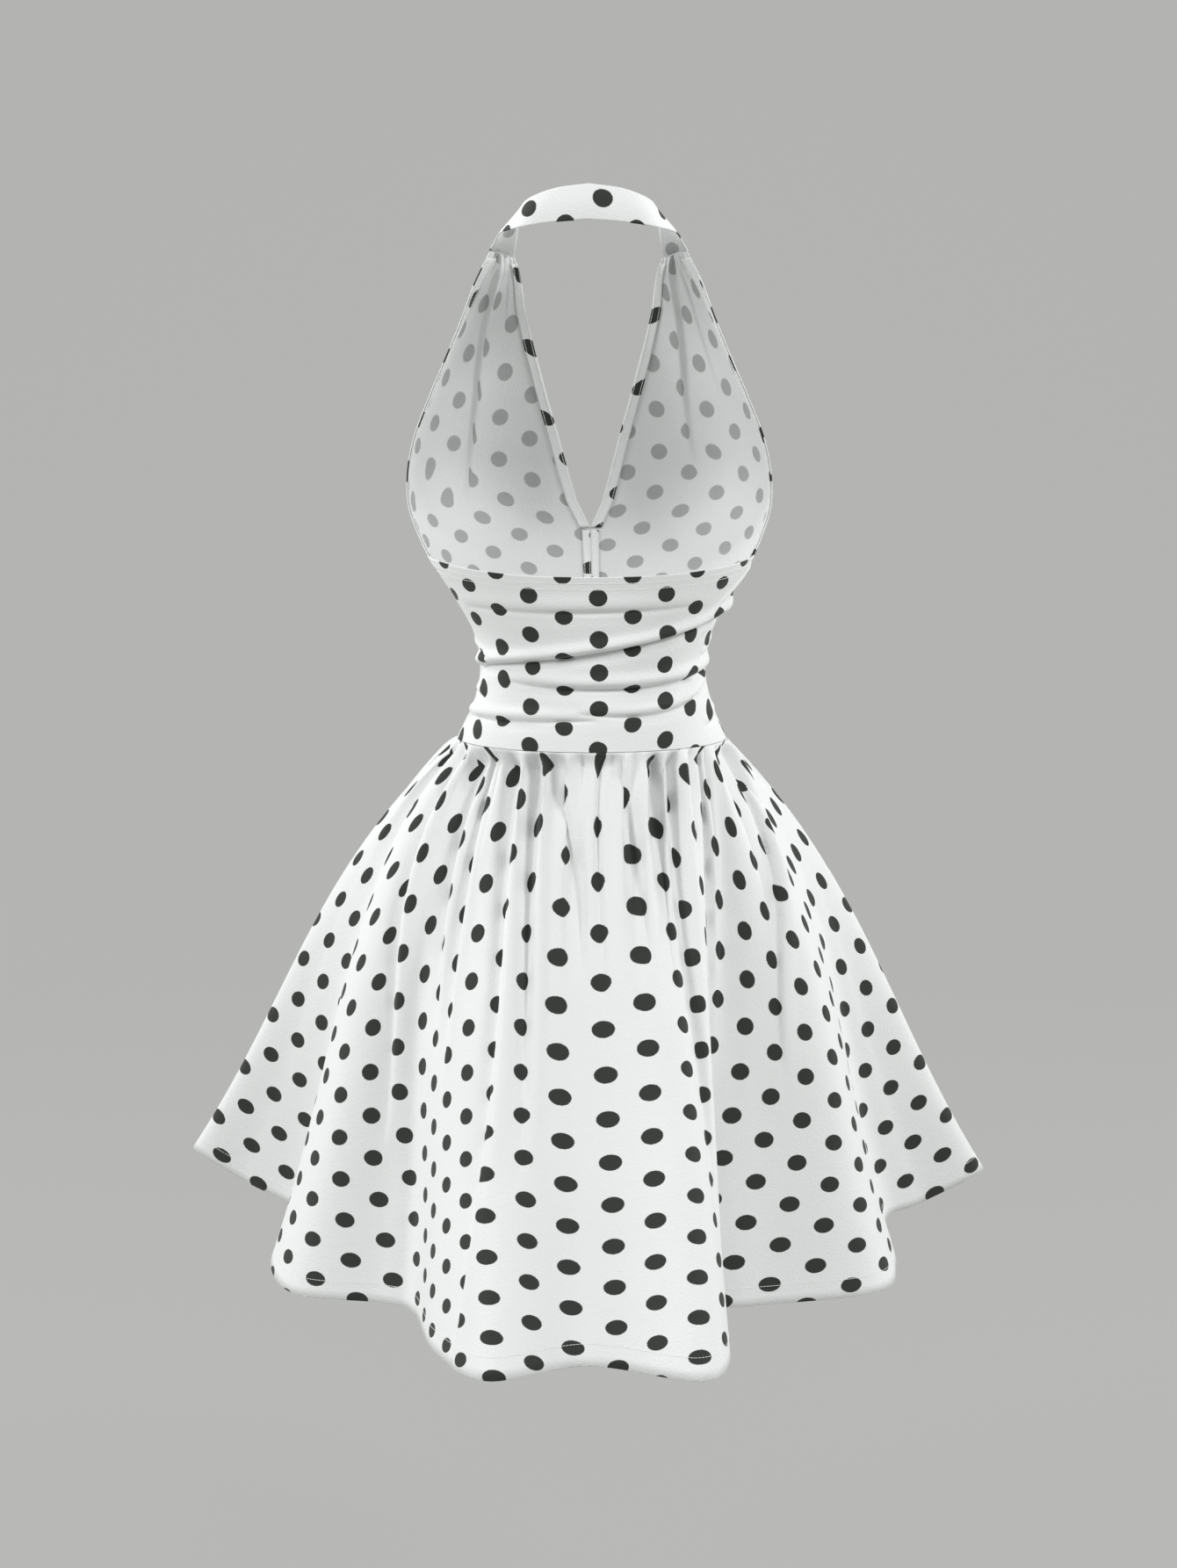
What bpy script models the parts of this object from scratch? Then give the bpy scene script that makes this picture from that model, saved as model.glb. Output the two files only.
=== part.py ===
"""Halter-neck dress with a gathered, flared skirt, filled out with no wearer.

Metres, +Z up. The wearer faces -Y and the wearer's left is +X. The origin is on
the inner face of the neckband at the centre back, half way up the band.
"""
import math

import bpy
import numpy as np

# ---------------------------------------------------------------- driving sizes
CLOTH = 0.0012            # wall of the crepe knit
SEAM_GAP = 0.0004         # clearance between two pieces at a seam
SEAM_TRIM = 0.0007        # taken off each side where two walls meet at an angle
SWAY = 0.004              # the waist hangs this far to the wearer's right
SWAY_Z, SWAY_SPREAD = -0.42, 0.13
BAND_MID_BACK = 0.0536    # middle of the band's wall behind the body axis
AXIS_Y = -(BAND_MID_BACK - CLOTH / 2)   # puts the band's inner face on y = 0

WAIST_Z = -0.490          # waist seam below the neck mount
UNDERARM_Z = -0.320       # top of the side seams
NECK_POINT_Z = -0.302     # bottom of the V neckline
TOP_DIP = 0.0105          # the back's top edge is this much lower at its middle
INNER_STRIP = 0.0085      # turned strip along the neckline and the centre front seam
ARM_HEM = 0.0080          # turned strip along the armhole

TOP_SLANT = 0.0030        # the gathered top is lower at its inner end by twice this
TOP_SLANT_START, TOP_SLANT_RUN = -0.110, 0.067
CUP_POWER = 1.5           # how pointed the swell of a cup is across a level
BULGE_RUN = 0.11          # a rounded level is this much longer than its chord

SKIRT_MEAN_REACH = 0.372  # hem radius with the folds smoothed away
FLARE_KICK = 0.76         # at the sides it spreads this much faster under the waist
FLARE_POWER = 2.2
FLARE_DELAY = 0.35        # and this much more slowly at the middle of each panel
FOLD_POWER = 1.25         # folds deepen with this power of the way down
GATHERS = 15              # small gathers along each panel's waist
GATHER_DEPTH = 0.0040
GATHER_FADE = 0.11        # part of the length over which they die away
GATHER_START = 0.03       # part of the length over which they rise from the seam
GATHER_SHIFT = 0.35       # how unevenly they are spaced
# each panel's azimuths at the waist and at the hem, the waist's depth behind or in
# front of the axis, and the share of the waist that its middle folds hang from
BACK_WAIST_TURN, BACK_HEM_TURN, BACK_WAIST_DEPTH, BACK_CROWD = (90, -90), (97.5, -93), 0.093, 0.4
FRONT_WAIST_TURN, FRONT_HEM_TURN, FRONT_WAIST_DEPTH, FRONT_CROWD = (-90, -270), (-93, -262.5), 0.100, 0.2
CROWD_WIDTH = 0.075       # half the share of the hem that those folds take up

# mesh density
SKIRT_COLUMNS, SKIRT_ROWS = 80, 9
FRONT_COLUMNS, UPPER_ROWS = 12, 12
BACK_COLUMNS, LOWER_ROWS = 26, 9
BAND_COLUMNS, BAND_ROWS = 40, 3
BAND_STEPS, HEM_STEPS = 8, 24   # points read between two rows of a table
ROW_POWER = 1.25                # the skirt's rows are closer together at the waist

# Neckband, from the centre back to the front end on the wearer's left.
# upper edge x, y, z and lower edge x, y, z; y is measured from the body axis
BAND = np.array([
    (0.0000, 0.0515, 0.0165, 0.0000, 0.0557, -0.0152),
    (0.0300, 0.0465, 0.0125, 0.0360, 0.0525, -0.0178),
    (0.0530, 0.0320, 0.0045, 0.0630, 0.0380, -0.0215),
    (0.0610, 0.0050, -0.0030, 0.0800, 0.0080, -0.0250),
    (0.0640, -0.0260, -0.0150, 0.0860, -0.0180, -0.0320),
    (0.0695, -0.0560, -0.0460, 0.0920, -0.0380, -0.0400),
])

# Front panel, one row per level.
# height, inner x, inner y, outer x, outer y, roundness of the level, cup depth
FRONT = np.array([
    (-0.0430, 0.0695, -0.0560, 0.0915, -0.0380, 0.00, 0.000),
    (-0.0710, 0.0640, -0.0720, 0.1060, -0.0350, 0.35, 0.000),
    (-0.0920, 0.0605, -0.0800, 0.1140, -0.0330, 0.70, 0.002),
    (-0.1320, 0.0510, -0.0920, 0.1305, -0.0310, 1.00, 0.007),
    (-0.1730, 0.0404, -0.1020, 0.1485, -0.0300, 1.00, 0.014),
    (-0.2140, 0.0290, -0.1100, 0.1645, -0.0310, 1.00, 0.021),
    (-0.2470, 0.0205, -0.1150, 0.1708, -0.0330, 1.00, 0.025),
    (-0.2760, 0.0125, -0.1170, 0.1702, -0.0320, 1.00, 0.022),
    (-0.3020, 0.0000, -0.1160, 0.1613, -0.0240, 1.00, 0.015),
    (-0.3200, 0.0000, -0.1130, 0.1523, -0.0140, 1.00, 0.010),
    (-0.3540, 0.0000, -0.1050, 0.1295, 0.0000, 1.00, 0.004),
    (-0.3950, 0.0000, -0.0960, 0.1090, 0.0000, 1.00, 0.000),
    (-0.4320, 0.0000, -0.0920, 0.1055, 0.0000, 1.00, 0.000),
    (-0.4575, 0.0000, -0.0940, 0.1118, 0.0000, 1.00, 0.000),
    (-0.4900, 0.0000, -0.1000, 0.1262, 0.0000, 1.00, 0.000),
])

# Back panel: height, depth behind the body axis at the centre back
BACK_DEPTH = np.array([
    (-0.3200, 0.0950),
    (-0.3540, 0.0890),
    (-0.3950, 0.0830),
    (-0.4320, 0.0815),
    (-0.4575, 0.0850),
    (-0.4900, 0.0930),
])

# Skirt hem, one row per turn of a fold, from the wearer's left side round the
# back, the right side and the front: azimuth from the centre back in degrees,
# reach from the body axis, height. The azimuth steps back where a fold laps over.
HEM = np.array([
    (97.5, 0.393, -0.907),
    (93.0, 0.338, -0.931),
    (87.0, 0.287, -0.946),
    (80.0, 0.283, -0.953),
    (66.0, 0.321, -0.959),
    (52.0, 0.335, -0.962),
    (37.0, 0.303, -0.957),
    (29.5, 0.309, -0.956),
    (19.0, 0.396, -0.948),
    (10.0, 0.473, -0.936),
    (0.0, 0.426, -0.940),
    (-11.0, 0.478, -0.935),
    (-16.0, 0.420, -0.939),
    (-15.2, 0.340, -0.950),
    (-18.0, 0.283, -0.955),
    (-30.0, 0.293, -0.955),
    (-50.0, 0.336, -0.957),
    (-63.0, 0.317, -0.957),
    (-80.0, 0.288, -0.947),
    (-87.0, 0.322, -0.942),
    (-93.0, 0.386, -0.919),
    (-108.0, 0.350, -0.940),
    (-126.0, 0.385, -0.945),
    (-144.0, 0.320, -0.955),
    (-162.0, 0.400, -0.948),
    (-180.0, 0.335, -0.957),
    (-198.0, 0.398, -0.948),
    (-216.0, 0.318, -0.955),
    (-232.0, 0.380, -0.943),
    (-249.0, 0.345, -0.938),
])
LEFT_SEAM, RIGHT_SEAM = 0, 20          # rows of HEM where the side seams end


# ------------------------------------------------------------------- cut shapes
def smooth_table(table, wanted):
    """Read a table of levels at the wanted heights, along smooth curves.

    Each column is a cubic between rows whose slope at a row is the mean slope of
    its two neighbours. Rows run downwards, so heights are negated for searching.
    """
    depth = -table[:, 0]
    values = table[:, 1:]
    slopes = np.gradient(values, depth, axis=0)
    x = np.clip(-np.asarray(wanted), depth[0], depth[-1])
    row = np.clip(np.searchsorted(depth, x, side="right") - 1, 0, len(depth) - 2)
    step = (depth[row + 1] - depth[row])[:, None]
    t = ((x - depth[row])[:, None]) / step
    return ((2 * t**3 - 3 * t**2 + 1) * values[row]
            + (t**3 - 2 * t**2 + t) * step * slopes[row]
            + (3 * t**2 - 2 * t**3) * values[row + 1]
            + (t**3 - t**2) * step * slopes[row + 1])


def smooth_path(points, count, closed=False):
    """Points along a curve through the given points, with even spacing between
    each pair: a cubic whose tangent at a point is half the step across it."""
    points = np.asarray(points, float)
    if closed:
        ring = np.vstack([points[-1], points, points[0], points[1]])
    else:
        ring = np.vstack([2 * points[0] - points[1], points, 2 * points[-1] - points[-2]])
    pieces = []
    for before, start, end, after in zip(ring[:-3], ring[1:-2], ring[2:-1], ring[3:]):
        t = np.linspace(0, 1, count, endpoint=False)[:, None]
        pieces.append((2 * t**3 - 3 * t**2 + 1) * start
                      + (t**3 - 2 * t**2 + t) * (end - before) / 2
                      + (3 * t**2 - 2 * t**3) * end
                      + (t**3 - t**2) * (after - start) / 2)
    if not closed:
        pieces.append(points[-1:])
    return np.vstack(pieces)


def by_length(path, count):
    """The path resampled to an even spacing along its length."""
    steps = np.linalg.norm(np.diff(path, axis=0), axis=1)
    along = np.concatenate([[0.0], np.cumsum(steps)])
    wanted = np.linspace(0, along[-1], count)
    return np.stack([np.interp(wanted, along, path[:, axis]) for axis in range(3)], axis=1)


def grid_normals(grid):
    """Unit outward normals of a grid whose rows run down the garment."""
    down = np.gradient(grid, axis=0)
    along = np.gradient(grid, axis=1)
    normals = np.cross(down, along)
    return normals / np.linalg.norm(normals, axis=2, keepdims=True)


def trimmed(grid):
    """The grid with a little taken off its first and last columns."""
    for edge, next_in in ((0, 1), (-1, -2)):
        inward = grid[:, next_in] - grid[:, edge]
        inward = inward / np.linalg.norm(inward, axis=1, keepdims=True)
        grid[:, edge] += inward * SEAM_TRIM
    return grid


def mirrored(grid):
    """The same piece on the other side of the body, its normals kept outward."""
    return (grid * (-1, 1, 1))[:, ::-1]


def neckband():
    """A straight strip that lies on the back of the neck and over both shoulders."""
    half = smooth_path(BAND, BAND_STEPS)
    right = half[:0:-1] * (-1, 1, 1, -1, 1, 1)
    edges = np.vstack([right, half])
    upper, lower = by_length(edges[:, :3], BAND_COLUMNS), by_length(edges[:, 3:], BAND_COLUMNS)
    across = np.linspace(0, 1, BAND_ROWS)[:, None, None]
    grid = upper + (lower - upper) * across
    return trimmed(grid + (0, AXIS_Y, 0))


def lower_levels():
    """Heights of the rows that the front and the back share down the side seam."""
    return np.linspace(UNDERARM_Z, WAIST_Z + SEAM_GAP / 2, LOWER_ROWS)


def front_levels():
    """Heights of the front panel's rows. One row is at the point of the V and one
    is at the underarm point."""
    upper = np.linspace(FRONT[0, 0], NECK_POINT_Z, UPPER_ROWS)
    return np.concatenate([upper, lower_levels()])


def front_grid(levels, columns):
    """The wearer's left front. At each level the cloth runs from its inner edge to
    its outer edge as a quarter ellipse, straighter towards the gathered top, and
    swells forward by the cup depth between them. The first and last columns are
    as wide as the turned strips on those edges."""
    inner_x = np.interp(-levels, -FRONT[:, 0], FRONT[:, 1])
    inner_x = np.maximum(inner_x, SEAM_GAP / 2)
    _, inner_y, outer_x, outer_y, round_, cup = smooth_table(FRONT, levels).T
    run = np.hypot(outer_x - inner_x, outer_y - inner_y) * (1 + BULGE_RUN * round_)
    inner_share, outer_share = (INNER_STRIP / run)[:, None], (ARM_HEM / run)[:, None]
    between = np.linspace(0, 1, columns - 2)[None, :]
    between = inner_share + (1 - outer_share - inner_share) * between
    ends = np.zeros((len(levels), 1))
    across = np.hstack([ends, between, ends + 1])
    round_ = round_[:, None]
    slant = TOP_SLANT * np.clip((levels - TOP_SLANT_START) / TOP_SLANT_RUN, 0, 1)[:, None]
    angle = across * math.pi / 2
    share_x = across + (np.sin(angle) - across) * round_
    share_y = across + (1 - np.cos(angle) - across) * round_
    x = inner_x[:, None] + (outer_x - inner_x)[:, None] * share_x
    y = inner_y[:, None] + (outer_y - inner_y)[:, None] * share_y
    y -= cup[:, None] * np.sin(math.pi * across) ** CUP_POWER
    z = levels[:, None] + slant * (2 * across - 1)
    z[0] -= SEAM_GAP
    return np.stack([x, y + AXIS_Y, z], axis=2)


def back_grid():
    """The back: half an ellipse at each level, from side seam to side seam."""
    levels = lower_levels()[:, None]
    turn = np.linspace(-math.pi / 2, math.pi / 2, BACK_COLUMNS)[None, :]
    dip = TOP_DIP * (1 - np.abs(np.sin(turn)) ** 3)
    z = levels - dip * (levels - levels[-1]) / (levels[0] - levels[-1])
    sides = smooth_table(FRONT, z.ravel())
    half_width = sides[:, 2].reshape(z.shape)
    side_y = sides[:, 3].reshape(z.shape) + SEAM_GAP
    depth = smooth_table(BACK_DEPTH, z.ravel())[:, 0].reshape(z.shape)
    x = -half_width * np.sin(turn)
    y = side_y + (depth - side_y) * np.cos(turn)
    return np.stack([x, y + AXIS_Y, z], axis=2)


def hem_ring():
    """The hem's closed curve through the turns of its folds, and the places on it
    where the two side seams end."""
    azimuth, reach, height = np.radians(HEM[:, 0]), HEM[:, 1], HEM[:, 2]
    turns = np.stack([reach * np.sin(azimuth), reach * np.cos(azimuth), height], axis=1)
    ring = smooth_path(turns, HEM_STEPS, closed=True)
    return ring, LEFT_SEAM * HEM_STEPS, RIGHT_SEAM * HEM_STEPS


def skirt_grid(hem, waist_turn, hem_turn, waist_depth, crowd):
    """One skirt panel. hem is its stretch of the hem curve, the turns are the
    azimuths of its two side seams at the waist and at the hem.

    Each column joins a waist point to an evenly spaced hem point; crowd is the share
    of the waist that the folds at the panel's middle hang from, so the gathers are
    closer towards the side seams. Sideways a column spreads fast under the waist and
    then straightens, backwards and forwards it spreads late. The folds are the hem's
    departure from its mean ring, growing down the column, and small gathers die away
    below the seam.
    """
    columns = SKIRT_COLUMNS
    hem = by_length(hem, columns)
    share = np.linspace(0, 1, columns)
    middle = (1 + np.tanh((share - 0.5) / CROWD_WIDTH)) / 2
    waist_share = (1 - crowd) * share + crowd * middle
    waist_angle = np.radians(waist_turn[0] + (waist_turn[1] - waist_turn[0]) * waist_share)
    hem_angle = np.radians(hem_turn[0] + (hem_turn[1] - hem_turn[0]) * share)
    outward = np.stack([np.sin(waist_angle), np.cos(waist_angle)], axis=1)
    waist = outward * (FRONT[-1, 3], waist_depth)
    mean = SKIRT_MEAN_REACH * np.stack([np.sin(hem_angle), np.cos(hem_angle)], axis=1)
    down = (np.linspace(0, 1, SKIRT_ROWS) ** ROW_POWER)[:, None, None]
    early = FLARE_KICK * (1 - down) ** FLARE_POWER
    sideways = np.stack([np.ones(columns), np.sin(hem_angle) ** 2], axis=1)
    spread = down * (1 + early * sideways - FLARE_DELAY * (1 - down) * (1 - sideways))
    plan = waist + (mean - waist) * spread + (hem[:, :2] - mean) * down ** FOLD_POWER
    turns = GATHERS * share + GATHER_SHIFT * np.sin(4 * math.pi * share)
    wave = (1 - np.cos(2 * math.pi * turns))[None, :, None] / 2
    swell = GATHER_DEPTH * np.exp(-down / GATHER_FADE) * np.clip(down / GATHER_START, 0, 1)
    plan = plan + outward * swell * wave
    z = WAIST_Z - SEAM_GAP / 2 + (hem[:, 2] - WAIST_Z) * down[:, :, 0]
    return trimmed(np.concatenate([plan + (0, AXIS_Y), z[:, :, None]], axis=2))


def swayed(grid):
    """The grid with the waist moved a little to the wearer's right."""
    shift = SWAY * np.exp(-((grid[..., 2] - SWAY_Z) / SWAY_SPREAD) ** 2)
    return grid - shift[..., None] * (1, 0, 0)


def turned_strip(panel, rows, columns):
    """A strip on the inside of a panel: the panel's own points, moved in."""
    inside = panel - grid_normals(panel) * (CLOTH + SEAM_GAP)
    return inside[rows, columns]


# --------------------------------------------------------------------- building
def cloth_material(name, colour, roughness):
    """A matte Principled cloth."""
    material = bpy.data.materials.new(name)
    material.use_nodes = True
    shader = material.node_tree.nodes["Principled BSDF"]
    shader.inputs["Base Color"].default_value = (*colour, 1.0)
    shader.inputs["Roughness"].default_value = roughness
    shader.inputs["Metallic"].default_value = 0.0
    return material


def cloth_piece(name, grid, colour, roughness=0.85):
    """One piece of cloth: a sheet through the grid's points, given its wall."""
    rows, columns = grid.shape[:2]
    mesh = bpy.data.meshes.new(name)
    index = np.arange(rows * columns).reshape(rows, columns)
    corners = [index[:-1, :-1], index[1:, :-1], index[1:, 1:], index[:-1, 1:]]
    faces = np.stack([corner.ravel() for corner in corners], axis=1)
    mesh.from_pydata(swayed(grid).reshape(-1, 3).tolist(), [], faces.tolist())
    mesh.shade_smooth()
    piece = bpy.data.objects.new(name, mesh)
    piece.data.materials.append(cloth_material(name, colour, roughness))
    wall = piece.modifiers.new("wall", "SOLIDIFY")
    wall.thickness = CLOTH
    wall.offset = 0.0
    bpy.data.collections["halter_dress"].objects.link(piece)
    return piece


def build():
    """Every piece of the dress, in the order it is sewn."""
    for old in list(bpy.data.objects):
        bpy.data.objects.remove(old, do_unlink=True)
    dress = bpy.data.collections.new("halter_dress")
    bpy.context.scene.collection.children.link(dress)
    face, turned = (0.80, 0.82, 0.81), (0.66, 0.68, 0.67)

    cloth_piece("neckband", neckband(), face)

    levels = front_levels()
    panel = front_grid(levels, FRONT_COLUMNS)
    neck_row = int(np.argmin(abs(levels - NECK_POINT_Z)))
    arm_row = int(np.argmin(abs(levels - UNDERARM_Z)))
    inner, outer = slice(0, 2), slice(-2, None)
    fronts = {
        "front": (panel, face),
        "neck_hem": (turned_strip(panel, slice(1, neck_row + 1), inner), turned),
        "armhole_hem": (turned_strip(panel, slice(1, arm_row + 1), outer), turned),
        "centre_seam": (turned_strip(panel, slice(neck_row + 1, None), inner), turned),
    }
    for name, (grid, colour) in fronts.items():
        cloth_piece(name + "_left", grid, colour)
        cloth_piece(name + "_right", mirrored(grid), colour)

    cloth_piece("back_panel", back_grid(), face)

    ring, left, right = hem_ring()
    back_hem, front_hem = ring[left:right + 1], np.vstack([ring[right:], ring[:1]])
    back = skirt_grid(back_hem, BACK_WAIST_TURN, BACK_HEM_TURN, BACK_WAIST_DEPTH, BACK_CROWD)
    front = skirt_grid(front_hem, FRONT_WAIST_TURN, FRONT_HEM_TURN, FRONT_WAIST_DEPTH, FRONT_CROWD)
    cloth_piece("skirt_back", back, face)
    cloth_piece("skirt_front", front, face)


build()
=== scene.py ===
import math

import bpy
import numpy as np
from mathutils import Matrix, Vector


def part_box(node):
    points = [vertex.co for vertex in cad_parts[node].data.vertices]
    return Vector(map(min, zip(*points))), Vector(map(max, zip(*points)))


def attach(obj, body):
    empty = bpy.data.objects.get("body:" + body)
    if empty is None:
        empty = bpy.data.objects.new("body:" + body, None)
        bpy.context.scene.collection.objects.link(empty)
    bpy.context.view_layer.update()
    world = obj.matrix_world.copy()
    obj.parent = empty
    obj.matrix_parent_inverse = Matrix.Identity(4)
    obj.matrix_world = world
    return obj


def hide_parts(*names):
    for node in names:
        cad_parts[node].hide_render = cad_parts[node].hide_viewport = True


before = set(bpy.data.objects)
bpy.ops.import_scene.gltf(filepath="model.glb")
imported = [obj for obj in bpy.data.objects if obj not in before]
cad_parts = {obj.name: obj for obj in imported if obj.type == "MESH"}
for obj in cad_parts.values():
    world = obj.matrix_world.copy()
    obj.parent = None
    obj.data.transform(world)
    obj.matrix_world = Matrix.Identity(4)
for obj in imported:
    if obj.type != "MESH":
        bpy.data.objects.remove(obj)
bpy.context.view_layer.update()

# ------------------------------------------------------------------ the studio
# A grey paper sweep that runs up all round, far below the hem, and large soft
# lamps. The camera stands behind the wearer at the height of the chest and looks
# down a little, at the waist.
AXIS_Y = -0.053                 # the body's axis, ahead of the neck mount
VIEW_HEIGHT = -0.535            # height that the camera is aimed at
VIEW_DISTANCE = 2.49
VIEW_PITCH = math.radians(10)
LENS, SENSOR = 60.5, 36.0
FLOOR_DROP = 0.56               # from the lowest point of the hem to the floor
FLOOR_RADIUS, FLOOR_BEND, WALL_HEIGHT = 3.2, 1.6, 2.6
SWEEP_GREY, SWEEP_GLOW, SWEEP_MATT = "B5B6B4", 0.90, 0.06
AIR_WHITE, AIR_STRENGTH = "F4F5F6", 0.26
# name: place x, y, z, side of the square lamp, power
LAMPS = {
    "key": ((-2.4, 1.25, 1.3), 0.8, 48),
    "fill": ((2.5, 1.15, 0.9), 1.0, 45),
    "front_key": ((2.4, -1.4, 1.3), 0.8, 46),
    "front_fill": ((-2.5, -1.3, 0.9), 1.0, 36),
    "top": ((0.0, 1.6, 1.9), 1.2, 13),
}


def linear(hex_colour):
    """An sRGB hex colour as linear red, green, blue and full alpha."""
    parts = [int(hex_colour[i:i + 2], 16) / 255 for i in (0, 2, 4)]
    return [p / 12.92 if p <= 0.04045 else ((p + 0.055) / 1.055) ** 2.4 for p in parts] + [1.0]


def add_node(tree, kind, inputs=None, **settings):
    """A node with its settings. inputs maps a socket's name or number to a value or
    to the socket that feeds it."""
    new = tree.nodes.new(kind)
    for name, value in settings.items():
        setattr(new, name, value)
    for socket, value in (inputs or {}).items():
        if isinstance(value, bpy.types.NodeSocket):
            tree.links.new(value, new.inputs[socket])
        else:
            new.inputs[socket].default_value = value
    return new


def empty_material(name):
    """A material with only its output node, and that node."""
    material = bpy.data.materials.new(name)
    material.use_nodes = True
    material.node_tree.nodes.clear()
    return material, add_node(material.node_tree, "ShaderNodeOutputMaterial")


def grid_mesh(name, points, closed=False):
    """A mesh of quads through a grid of points: each face joins two neighbouring
    rows and two neighbouring columns. closed joins the last column to the first."""
    rows, columns = points.shape[:2]
    index = np.arange(rows * columns).reshape(rows, columns)
    if closed:
        index = np.hstack([index, index[:, :1]])
    corners = index[:-1, :-1], index[1:, :-1], index[1:, 1:], index[:-1, 1:]
    faces = np.stack(corners, axis=-1).reshape(-1, 4)
    mesh = bpy.data.meshes.new(name)
    mesh.from_pydata(points.reshape(-1, 3), [], faces)
    mesh.shade_smooth()
    return mesh, faces


def paper_sweep():
    """A bowl turned about the vertical: a flat floor, closed but for a pinhole at its
    middle, then a quarter circle and a wall."""
    turn = np.linspace(0, math.pi / 2, 17)
    pinhole, wall_radius = 0.0005, FLOOR_RADIUS + FLOOR_BEND
    radius = np.concatenate([[pinhole], FLOOR_RADIUS + FLOOR_BEND * np.sin(turn), [wall_radius]])
    height = np.concatenate([[0.0], FLOOR_BEND * (1 - np.cos(turn)), [FLOOR_BEND + WALL_HEIGHT]])
    around = np.linspace(0, 2 * math.pi, 96, endpoint=False)
    floor_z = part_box("skirt_back")[0].z - FLOOR_DROP
    points = np.stack([radius[:, None] * np.cos(around),
                       AXIS_Y + radius[:, None] * np.sin(around),
                       floor_z + height[:, None] + 0 * around], axis=-1)
    mesh, _ = grid_mesh("paper_sweep", points[:, ::-1], closed=True)
    return bpy.data.objects.new("paper_sweep", mesh)


sweep = paper_sweep()
bpy.context.scene.collection.objects.link(sweep)
# matt grey paper: its own even glow keeps it one flat grey, and it takes a faint shade
paper, out = empty_material("matt_grey_paper")
glow = add_node(paper.node_tree, "ShaderNodeEmission",
                {"Color": linear(SWEEP_GREY), "Strength": SWEEP_GLOW})
matt = add_node(paper.node_tree, "ShaderNodeBsdfDiffuse", {"Color": [SWEEP_MATT] * 3 + [1]})
both = add_node(paper.node_tree, "ShaderNodeAddShader", {0: glow.outputs[0], 1: matt.outputs[0]})
paper.node_tree.links.new(both.outputs[0], out.inputs["Surface"])
sweep.data.materials.append(paper)

camera = bpy.data.objects.new("camera", bpy.data.cameras.new("camera"))
camera.data.lens, camera.data.sensor_width = LENS, SENSOR
camera.location = (0, AXIS_Y + VIEW_DISTANCE * math.cos(VIEW_PITCH),
                   VIEW_HEIGHT + VIEW_DISTANCE * math.sin(VIEW_PITCH))
camera.rotation_euler = (math.pi / 2 - VIEW_PITCH, 0, math.pi)
bpy.context.scene.collection.objects.link(camera)
bpy.context.scene.camera = camera
bpy.context.scene.view_settings.view_transform = "Standard"

for name, (place, side, power) in LAMPS.items():
    lamp = bpy.data.objects.new(name, bpy.data.lights.new(name, "AREA"))
    lamp.data.size, lamp.data.energy = side, power
    lamp.location = place
    aim = np.array([0, AXIS_Y, VIEW_HEIGHT]) - place
    lamp.rotation_euler = (math.acos(-aim[2] / np.linalg.norm(aim)), 0,
                           math.atan2(aim[1], aim[0]) - math.pi / 2)
    lamp.visible_camera = False
    bpy.context.scene.collection.objects.link(lamp)
world = bpy.data.worlds.new("studio_air")
world.use_nodes = True
world.node_tree.nodes["Background"].inputs["Color"].default_value = linear(AIR_WHITE)
world.node_tree.nodes["Background"].inputs["Strength"].default_value = AIR_STRENGTH
bpy.context.scene.world = world

# ---------------------------------------------------------------- the neckband
# A straight strip of the dress's crepe, pulled round the back of the neck and over
# both shoulders, and sewn at each end to a front's gathers.
# The print is stretched along it, so its dots are wider than they are tall.
CREPE_WHITE, DOT_BLACK = "E8EAE9", "292B29"
WRONG_SIDE_WHITE, WRONG_SIDE_DOT = "DFE1E0", "A2A4A3"
CLOUDING = 0.955                # the darkest the white goes, in soft broad clouds
DOT_ACROSS, DOT_ROW, DOT_COLUMN = 0.0164, 0.043, 0.062
WALL = 0.0011                   # thickness of the cloth
BAND_PULL = 1.10                # how far the band's print is stretched
BAND_DOT = (0.0112, -0.0120)    # the middle of a dot, along and across the band
BAND_BOW = 0.0022               # how far the band bows outwards across its width
SWAY, SWAY_HEIGHT, SWAY_REACH = 0.004, -0.42, 0.13      # of the waist, to one side
# upper edge x, y, z and lower edge x, y, z, from the centre back to the wearer's
# left end; y is measured from the body axis
BAND = np.array([
    (0.0000, 0.0515, 0.0165, 0.0000, 0.0557, -0.0152),
    (0.0300, 0.0465, 0.0125, 0.0360, 0.0525, -0.0178),
    (0.0530, 0.0320, 0.0045, 0.0630, 0.0380, -0.0215),
    (0.0610, 0.0050, -0.0030, 0.0800, 0.0080, -0.0250),
    (0.0640, -0.0260, -0.0150, 0.0860, -0.0180, -0.0320),
    (0.0695, -0.0560, -0.0460, 0.0920, -0.0380, -0.0400),
])


def smooth_path(points, count, closed=False):
    """Points along a curve through the given points, count to each span: a cubic
    whose tangent at a point is half the step from the one before to the one after."""
    points = np.asarray(points, float)
    if closed:
        ring = np.vstack([points[-1], points, points[0], points[1]])
    else:
        ring = np.vstack([2 * points[0] - points[1], points, 2 * points[-1] - points[-2]])
    t = np.linspace(0, 1, count, endpoint=False)[None, :, None]
    before, start, end, after = (ring[i:len(ring) - 3 + i, None] for i in range(4))
    path = ((2 * t**3 - 3 * t**2 + 1) * start + (t**3 - 2 * t**2 + t) * (end - before) / 2
            + (3 * t**2 - 2 * t**3) * end + (t**3 - t**2) * (after - start) / 2)
    path = path.reshape(-1, points.shape[1])
    return path if closed else np.vstack([path, points[-1:]])


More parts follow.
